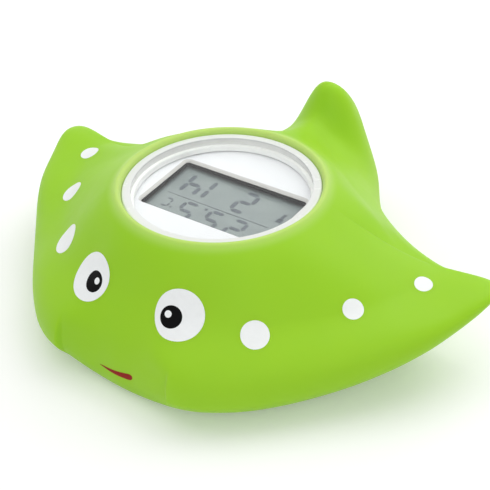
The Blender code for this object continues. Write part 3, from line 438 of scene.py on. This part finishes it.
def body_skin():
    """Grid of points [row, column, xyz] from the lip, over the edge, to the flat foot, in millimetres."""
    right = np.array(STATIONS)
    left = right[1:-1][::-1].copy()
    left[:, 0] *= -1
    table = np.vstack([right, left])
    closed = np.vstack([table, table[:1]])
    steps = np.linalg.norm(np.diff(closed[:, :2], axis=0) * MM, axis=1) ** KNOT_POWER
    knots = np.concatenate([[0.0], np.cumsum(steps)])
    tail = len(STATIONS) - 1
    wanted = []
    for i in range(len(table)):
        corner = min(i, len(table) - 1 - i) in (1, 2)
        count = COLUMNS[1] if corner or tail - 2 <= i < tail + 2 else COLUMNS[0]
        wanted += [knots[i] + (knots[i + 1] - knots[i]) * k / count for k in range(count)]
    columns = closed_spline(knots[:-1], table, knots[-1], np.array(wanted))
    x, y, edge_z, share, belt_z, belt_slope, up, down, foot, lip_slope = columns.T
    edge_r = np.hypot(x, y)
    lip = np.stack([0 * edge_r + LIP_RADIUS, 0 * edge_r + LIP_TOP - LIP_SHOULDER * LIP_WIDTH], axis=1)
    belt = np.stack([LIP_RADIUS + (edge_r - LIP_RADIUS) * share, belt_z], axis=1)
    edge = np.stack([edge_r, edge_z], axis=1)
    floor = np.stack([foot, 0 * foot], axis=1)
    reach = [np.linalg.norm(b - a, axis=1)[:, None]
             for a, b in ((lip, belt), (belt, edge), (edge, floor))]
    shares = [np.linspace(0, 1, n + 1) for n in ROWS]
    sections = np.concatenate([
        cubic_arc(lip, belt, downhill(lip_slope) * reach[0], downhill(belt_slope) * reach[0],
                  shares[0][:-1]),
        cubic_arc(belt, edge, downhill(belt_slope) * reach[1], np.array([0.0, -EDGE_PULL]) * up[:, None],
                  shares[1][:-1]),
        cubic_arc(edge, floor, np.array([0.0, -EDGE_PULL]) * down[:, None],
                  np.array([-FOOT_PULL, 0.0]) * reach[2], shares[2]),
    ])
    px = sections[..., 0] * x / edge_r * WINGS_SHARE
    py = sections[..., 0] * y / edge_r
    pz = sections[..., 1].copy()
    across = np.clip((CHIN_HALF_WIDTH - np.abs(px)) / CHIN_EDGE, 0, 1)
    down = np.clip((CHIN_FADE[0] - pz) / (CHIN_FADE[0] - CHIN_FADE[1]), 0, 1)
    py += CHIN_FLATNESS * across * down * down * (3 - 2 * down) * np.maximum(py[:, :1] - py, 0)
    py = np.where(py < NOSE_FROM, NOSE_FROM + NOSE_SHARE * (py - NOSE_FROM), py)
    half_length = np.where(py < TAIL_AT, TAIL_FRONT, TAIL_BACK)
    hill = TAIL_HIGH * np.exp(-np.hypot(px / TAIL_HALF_WIDTH, (py - TAIL_AT) / half_length) ** TAIL_POWER)
    fade = np.clip((ROWS[0] + ROWS[1] - np.arange(len(pz))) / (TAIL_FADE * ROWS[1]), 0, 1)[:, None]
    return np.stack([px, py, pz + hill * fade], axis=-1)


def vinyl_body():
    """The whole moulding: skin, rounded lip, bore and flat foot. Returns the skin to lay the ink on."""
    skin = body_skin()
    azimuth = np.arctan2(skin[0, :, 1], skin[0, :, 0])
    ring = [(BORE_RADIUS + FOOT_ROUND, 0.0)]
    ring += arc(BORE_RADIUS + FOOT_ROUND, FOOT_ROUND, FOOT_ROUND, 260, 190, 5)
    ring += [(BORE_RADIUS, FOOT_ROUND)] + [(BORE_RADIUS, z) for z in BORE_STEPS]
    ring += [(GRIP_RADIUS, GRIP_BOTTOM)]
    ring += [(GRIP_RADIUS + LIP_ROUND_X * (1 - math.cos(math.radians(t))),
              LIP_TOP - LIP_ROUND_Z * (1 - math.sin(math.radians(t)))) for t in LIP_ROUND_ANGLES]
    ring += [(GRIP_RADIUS + out, LIP_TOP - down) for out, down in LIP_CREST]
    rings = np.array([np.stack([r * np.cos(azimuth), r * np.sin(azimuth), np.full_like(azimuth, z)], axis=1)
                      for r, z in ring])
    grid = np.concatenate([skin, rings]) * MM
    tree_bm = grid_mesh(skin * MM)
    bmesh.ops.recalc_face_normals(tree_bm, faces=tree_bm.faces)
    tree_bm.normal_update()
    tree = BVHTree.FromBMesh(tree_bm)
    tree_bm.free()
    piece("vinyl_body", grid_mesh(grid, close_rows=True), "green_vinyl", ["float_body"], 70.0)
    return tree


skin_tree = vinyl_body()


# Printed marks, laid on the skin
def skin_at(x, y):
    """Point and upward normal of the skin straight below (x, y) in millimetres."""
    place, normal, _, _ = skin_tree.ray_cast(Vector((x * MM, y * MM, 0.2)), Vector((0, 0, -1)))
    return place, normal if normal.z > 0 else -normal


def decal(name, place, normal, outline, mat, node, height=0.035, rings=8, spine=None):
    """A film of ink: the outline (u, v) in millimetres laid on the skin, grown from its spine."""
    side = Vector((0, 0, 1)).cross(normal).normalized()
    up = normal.cross(side)
    bm = bmesh.new()
    layers = []
    for lift in (-0.05, height):
        points = []
        for k in range(rings + 1):
            scale = (k / rings) ** 0.8
            ring = []
            for (u, v), (su, sv) in zip(outline, spine or [(0.0, 0.0)] * len(outline)):
                u, v = su + (u - su) * scale, sv + (v - sv) * scale
                hit, face_normal, _, _ = skin_tree.find_nearest(place + (side * u + up * v) * MM)
                outward = face_normal if face_normal.dot(normal) > 0 else -face_normal
                ring.append(bm.verts.new(hit + outward * lift * MM))
            points.append(ring)
        layers.append(points)
    count = len(outline)
    for points in layers:
        for i in range(count):
            j = (i + 1) % count
            for inner, outer in zip(points, points[1:]):
                bm.faces.new((inner[i], outer[i], outer[j], inner[j]))
    for i in range(count):
        j = (i + 1) % count
        bm.faces.new((layers[0][-1][i], layers[0][-1][j], layers[1][-1][j], layers[1][-1][i]))
    bmesh.ops.remove_doubles(bm, verts=bm.verts, dist=1e-7)
    piece(name, bm, mat, [node], 60.0)


def disc(radius, count=48):
    """Round outline."""
    return [(radius * math.cos(2 * math.pi * i / count), radius * math.sin(2 * math.pi * i / count))
            for i in range(count)]


# Name, place (x, y), radius, slot
MARKS = (
    ("eye_white_right", 12.2, -31.2, 5.6, "eye_white_print"),
    ("eye_white_left", -12.1, -31.4, 5.6, "eye_white_print"),
    ("dot_right_front", 27.4, -25.3, 3.05, "dot_print"),
    ("dot_right_middle", 40.2, -8.1, 2.3, "dot_print"),
    ("dot_right_tip", 48.3, 6.9, 2.0, "dot_print"),
    ("dot_left_front", -27.3, -23.5, 3.8, "dot_print"),
    ("dot_left_middle", -40.2, -8.1, 2.95, "dot_print"),
    ("dot_left_tip", -48.3, 6.9, 2.4, "dot_print"),
)
# Place (x, y) and radius, on the right side
PUPIL = (10.8, -32.1, 2.45)
GLINT = (10.0, -32.0, 0.78)
PUPIL_HEIGHT, GLINT_HEIGHT = 0.065, 0.09  # one film over the other
MOUTH_AT = (0.3, 6.6)    # x, z
MOUTH_HALF = 4.7
MOUTH_THICK = 0.82
MOUTH_ROUND_FROM = 0.75  # share of the half length where the right end's round starts

for mark, x, y, radius, slot_name in MARKS:
    place, normal = skin_at(x, y)
    decal(mark + "_ink", place, normal, disc(radius), slot_name, mark)
for side_name, sign in (("right", 1), ("left", -1)):
    place, normal = skin_at(sign * PUPIL[0], PUPIL[1])
    decal("pupil_" + side_name + "_ink", place, normal, disc(PUPIL[2]), "pupil_print",
          "pupil_" + side_name, PUPIL_HEIGHT, 5)
    place, normal = skin_at(sign * GLINT[0], GLINT[1])
    decal("glint_" + side_name + "_ink", place, normal, disc(GLINT[2], 24), "eye_white_print",
          "glint_" + side_name, GLINT_HEIGHT, 3)


def mouth():
    """A curved drop: pointed at the left end, thick and round at the right one."""
    upper, lower, middle = [], [], []
    for s in -np.cos(np.linspace(0, np.pi, 28)):
        bend = 0.25 + 0.35 * s - 0.45 * (1 - s * s)
        half = MOUTH_THICK * ((1 + s) / (1 + MOUTH_ROUND_FROM)) ** 0.75
        if s > MOUTH_ROUND_FROM:
            half *= math.sqrt(max(0.0, 1 - ((s - MOUTH_ROUND_FROM) / (1 - MOUTH_ROUND_FROM)) ** 2))
        upper.append((MOUTH_HALF * s, bend + half))
        lower.append((MOUTH_HALF * s, bend - half))
        middle.append(((MOUTH_HALF - 0.2) * s, bend))
    return lower + upper[-2:0:-1], middle + middle[-2:0:-1]


mouth_ray = Vector((MOUTH_AT[0] * MM, -0.1, MOUTH_AT[1] * MM))
chin, _, _, _ = skin_tree.ray_cast(mouth_ray, Vector((0, 1, 0)))
drop, drop_spine = mouth()
decal("mouth_ink", chin, Vector((0, -1, 0)), drop, "mouth_print", "mouth_print", 0.035, 4, drop_spine)


# Display module
RING_BOTTOM = 27.0
RING_ROUND = 0.45        # outer edge
RING_INNER_ROUND = 0.1
LENS_ROUND = 0.12
SKIRT_BOTTOM = 27.95
WINDOW_ROUND = 0.9       # corners of the window

lens_r = BEZEL_INNER - 0.3
ring_in = lens_r - 0.1
wall_in = lens_r - 0.02  # the wall touches the lens's rim, with no dark gap
ring_profile = [(wall_in, RING_BOTTOM), (MODULE_RADIUS, RING_BOTTOM),
                (MODULE_RADIUS, BEZEL_TOP - RING_ROUND)]
ring_profile += arc(MODULE_RADIUS - RING_ROUND, BEZEL_TOP - RING_ROUND, RING_ROUND, 10, 90, 6)
ring_profile += arc(ring_in + RING_INNER_ROUND, BEZEL_TOP - RING_INNER_ROUND, RING_INNER_ROUND, 80, 180, 4)
ring_profile += [(ring_in, LENS_TOP + 0.01), (wall_in, LENS_TOP + 0.01)]
piece("bezel_ring_fine", grid_mesh(turned(ring_profile, 128), True), "white_bezel", ["bezel_ring"], 35.0)

lens_low = LENS_TOP - LENS_THICK
lens_profile = [(0.001, lens_low), (lens_r, lens_low), (lens_r, LENS_TOP - LENS_ROUND)]
lens_profile += arc(lens_r - LENS_ROUND, LENS_TOP - LENS_ROUND, LENS_ROUND, 15, 90, 4)
lens_profile += [(0.001, LENS_TOP)]
piece("lens_fine", grid_mesh(turned(lens_profile, 128), True), "clear_lens", ["lens"], 35.0)

# Frosted wall under the lens and behind its rim
skirt_in = lens_r - LENS_SKIRT
sleeve_out, sleeve_in = wall_in + 0.1, wall_in - 0.03
sleeve_top, skirt_top = LENS_TOP - 0.1, lens_low - 0.05
skirt_profile = [(skirt_in, SKIRT_BOTTOM), (sleeve_out, SKIRT_BOTTOM), (sleeve_out, sleeve_top),
                 (sleeve_in, sleeve_top), (sleeve_in, skirt_top),
                 (skirt_in + 0.2, skirt_top), (skirt_in, skirt_top - 0.2)]
frosted = moulded("frosted_skirt", (252, 253, 250), 0.45, bump=0.02, vary=0.02)
piece("lens_skirt_fine", grid_mesh(turned(skirt_profile, 128), True), frosted, ["lens"], 35.0)


def rounded_rectangle(half_x, half_y, radius, per_corner, per_side=16):
    """Outline with points along its sides too, so that a round rim can follow it."""
    points = []
    corners = ((1, 1, 0), (-1, 1, 90), (-1, -1, 180), (1, -1, 270))
    for i, (cx, cy, start) in enumerate(corners):
        for a in np.linspace(start, start + 90, per_corner):
            points.append((cx * (half_x - radius) + radius * math.cos(math.radians(a)),
                           cy * (half_y - radius) + radius * math.sin(math.radians(a))))
        nx, ny, turn_to = corners[(i + 1) % 4]
        goal = (nx * (half_x - radius) + radius * math.cos(math.radians(turn_to)),
                ny * (half_y - radius) + radius * math.sin(math.radians(turn_to)))
        begin = points[-1]
        for t in np.linspace(0, 1, per_side + 2)[1:-1]:
            points.append((begin[0] + (goal[0] - begin[0]) * t, begin[1] + (goal[1] - begin[1]) * t))
    return points


def turn(x, y):
    """A point given in the display's own axes."""
    c, s = math.cos(DISPLAY_TURN), math.sin(DISPLAY_TURN)
    return x * c - y * s, x * s + y * c


def framed_disc(levels, per_corner=10):
    """A disc with a rounded rectangular window, as a closed profile.

    Each level is (outer radius or 0 on the window's side, growth of the window, z).
    """
    grid = []
    for outer, grow, z in levels:
        if outer:
            window = rounded_rectangle(WINDOW_X / 2, WINDOW_Y / 2, WINDOW_ROUND, per_corner)
            ring = [Vector(p).normalized() * outer for p in window]
        else:
            window = rounded_rectangle(WINDOW_X / 2 + grow, WINDOW_Y / 2 + grow, WINDOW_ROUND + grow,
                                       per_corner)
            ring = [(x, WINDOW_SHARE * y + WINDOW_SHIFT) for x, y in window]
        grid.append([(x * MM, y * MM, z * MM) for x, y in (turn(*p) for p in ring)])
    return grid_mesh(np.array(grid), True)


plate = framed_disc((
    (lens_r, 0, PLATE_BOTTOM), (lens_r, 0, PLATE_TOP - 0.1), (lens_r - 0.1, 0, PLATE_TOP),
    (0, 0.75, PLATE_TOP), (0, 0.66, PLATE_TOP - 0.03), (0, 0.12, PLATE_BOTTOM + 0.22),
    (0, 0.0, PLATE_BOTTOM + 0.1), (0, 0.0, PLATE_BOTTOM)))
piece("face_plate_fine", plate, "white_plate", ["face_plate"], 30.0)


# Digits on the display
FIGURE_BOTTOM, FIGURE_TOP = 25.605, 25.63
SEGMENTS = {"1": "bc", "2": "abged", "4": "fgbc", "5": "afgcd", "C": "afed"}


def bar(bm, points):
    """One segment of a digit: a flat polygon with a little thickness, on the display's face."""
    points = [turn(*p) for p in points]
    low = [bm.verts.new((x * MM, y * MM, FIGURE_BOTTOM * MM)) for x, y in points]
    top = [bm.verts.new((x * MM, y * MM, FIGURE_TOP * MM)) for x, y in points]
    bm.faces.new(low[::-1])
    bm.faces.new(top)
    for i in range(len(points)):
        j = (i + 1) % len(points)
        bm.faces.new((low[i], low[j], top[j], top[i]))


def digit(bm, char, left, top, wide, high, stroke):
    """A seven-segment figure. It reads from the tail side: its right is -X and its top is -Y."""
    gap = 0.12 * stroke + 0.06
    mid = high / 2
    half = stroke / 2
    lines = {
        "a": ((0, 0), (wide, 0)), "g": ((0, mid), (wide, mid)), "d": ((0, high), (wide, high)),
        "f": ((0, 0), (0, mid)), "b": ((wide, 0), (wide, mid)),
        "e": ((0, mid), (0, high)), "c": ((wide, mid), (wide, high)),
    }
    for name in SEGMENTS[char]:
        (x0, y0), (x1, y1) = lines[name]
        if y0 == y1:
            x0, x1 = x0 + gap, x1 - gap
            shape = [(x0, y0), (x0 + half, y0 - half), (x1 - half, y0 - half), (x1, y0),
                     (x1 - half, y0 + half), (x0 + half, y0 + half)]
        else:
            y0, y1 = y0 + gap, y1 - gap
            shape = [(x0, y0), (x0 + half, y0 + half), (x0 + half, y1 - half), (x0, y1),
                     (x0 - half, y1 - half), (x0 - half, y0 + half)]
        bar(bm, [(left - x, top + y) for x, y in shape])


def block(bm, cx, cy, wide, high):
    """A plain bar or dot, given by its middle."""
    corners = ((-1, -1), (1, -1), (1, 1), (-1, 1))
    bar(bm, [(cx + sx * wide / 2, cy + sy * high / 2) for sx, sy in corners])


def display_figures():
    """All figures of the display, as one piece of dark segments."""
    bm = bmesh.new()
    # Clock row
    for char, left, wide in (("2", 4.8, 3.4), ("1", -2.9, 3.7), ("4", -8.9, 3.5)):
        digit(bm, char, left, 0.6, wide, 7.1, 1.1)
    # Temperature row
    for char, left in (("2", 8.1), ("5", 1.9), ("5", -5.0)):
        digit(bm, char, left, -8.1, 3.3, 6.0, 0.95)
    block(bm, -2.95, -2.3, 0.75, 0.75)
    digit(bm, "C", -11.4, -5.7, 1.7, 2.8, 0.5)
    block(bm, -10.4, -5.5, 0.5, 0.5)
    # Line between the rows, and the small thermometer mark
    block(bm, -1.0, -1.0, 26.8, 0.2)
    block(bm, 13.3, 3.7, 0.8, 2.4)
    block(bm, 13.3, 2.3, 1.5, 1.3)
    n = Nodes("display_ink")
    cloud = n.noise(500.0, 3.0, 0.5)
    n.put(n.bsdf, "Base Color", n.ramp(cloud, ((0.3, srgb(76, 84, 92)), (0.7, srgb(88, 96, 104)))))
    n.put(n.bsdf, "Roughness", n.spread(cloud, 0.35, 0.45))
    piece("display_figures", bm, n.mat, (), 30.0)


display_figures()


# Floor, light and camera
FLOOR_SIZE, FLOOR_Z = 3.0, -0.0002
FLOOR_GLOW_FROM, FLOOR_GLOW_TO = (0.06, 0.18), (0.5, 0.55)  # distance from the object, strength


def seen_ray(tree):
    """1 for rays that show the background: from the camera, off a gloss or through something clear."""
    path = tree.nodes.new("ShaderNodeLightPath")
    best = path.outputs["Is Camera Ray"]
    for name in ("Is Glossy Ray", "Is Transmission Ray"):
        most = tree.nodes.new("ShaderNodeMath")
        most.operation = "MAXIMUM"
        tree.links.new(best, most.inputs[0])
        tree.links.new(path.outputs[name], most.inputs[1])
        best = most.outputs[0]
    return best


def floor():
    """White paper that keeps the object's shadow, with a painted glow that grows away from the object."""
    bpy.ops.mesh.primitive_plane_add(size=FLOOR_SIZE, location=(0, 0, FLOOR_Z))
    obj = bpy.context.object
    obj.name = "studio_floor"
    n = Nodes("studio_paper")
    paper = n.ramp(n.noise(3.0, 2.0), ((0.3, (0.9, 0.9, 0.9)), (0.7, (0.915, 0.915, 0.915))))
    n.put(n.bsdf, "Base Color", paper)
    n.bsdf.inputs["Roughness"].default_value = 0.7
    n.bsdf.inputs["Specular IOR Level"].default_value = 0.2
    # Painted light: the paper glows to rays that show the background, more the further it lies from the
    # object, so that near the object it is painted darker
    away = n.add("ShaderNodeVectorMath", {0: n.coords()}, operation="LENGTH").outputs["Value"]
    white = n.add("ShaderNodeMapRange", {"Value": away, "From Min": FLOOR_GLOW_FROM[0],
                                         "From Max": FLOOR_GLOW_TO[0], "To Min": FLOOR_GLOW_FROM[1],
                                         "To Max": FLOOR_GLOW_TO[1]})
    glow = n.add("ShaderNodeEmission", {"Strength": n.add(
        "ShaderNodeMath", {0: seen_ray(n.tree), 1: white}, operation="MULTIPLY")})
    n.put(n.out, "Surface", n.add("ShaderNodeAddShader", {0: n.bsdf, 1: glow}))
    obj.data.materials.append(n.mat)


def area(name, place, size, power, target=(0, 0, 0.015)):
    """A rectangular lamp that points at the object."""
    data = bpy.data.lights.new(name, "AREA")
    data.shape = "RECTANGLE"
    data.size, data.size_y = size
    data.energy = power
    obj = bpy.data.objects.new(name, data)
    bpy.context.scene.collection.objects.link(obj)
    obj.location = place
    obj.rotation_euler = (Vector(place) - Vector(target)).to_track_quat("Z", "Y").to_euler()


floor()
WORLD_LIGHT = 0.55
world = bpy.data.worlds.new("studio")
world.use_nodes = True
bpy.context.scene.world = world
sky = world.node_tree
strength = sky.nodes.new("ShaderNodeMapRange")
strength.inputs["To Min"].default_value = WORLD_LIGHT
strength.inputs["To Max"].default_value = 1.0
sky.links.new(seen_ray(sky), strength.inputs["Value"])
sky.nodes["Background"].inputs["Color"].default_value = (1.0, 1.0, 1.0, 1.0)
sky.links.new(strength.outputs[0], sky.nodes["Background"].inputs["Strength"])
area("key", (0.15, 0.55, 0.75), (0.7, 0.7), 2.7)
area("top", (-0.15, 0.0, 0.95), (0.9, 0.9), 2.0)
area("fill", (0.5, -0.6, 0.6), (0.6, 0.6), 0.9)

# The camera, solved from the lens ring's ellipse and the printed marks
CAMERA_PLACE = (0.1434, -0.1736, 0.1796)
FOCAL_PX, WIDTH_PX = 1199.73, 490.0
AZIMUTH, ELEVATION, ROLL = 38.389, 36.027, 2.717
a, e, roll = (math.radians(v) for v in (AZIMUTH, ELEVATION, ROLL))
back = Vector((math.sin(a) * math.cos(e), -math.cos(a) * math.cos(e), math.sin(e)))
side = Vector((math.cos(a), math.sin(a), 0.0))
over = back.cross(side)
right = math.cos(roll) * side - math.sin(roll) * over
upward = math.sin(roll) * side + math.cos(roll) * over
camera_data = bpy.data.cameras.new("photo_camera")
camera_data.sensor_width = 36.0
camera_data.lens = 36.0 * FOCAL_PX / WIDTH_PX
camera_data.clip_start = 0.01
camera = bpy.data.objects.new("photo_camera", camera_data)
bpy.context.scene.collection.objects.link(camera)
facing = Matrix((right, upward, back)).transposed().to_4x4()
camera.matrix_world = Matrix.Translation(Vector(CAMERA_PLACE)) @ facing
bpy.context.scene.camera = camera

bpy.context.scene.view_settings.view_transform = "Standard"
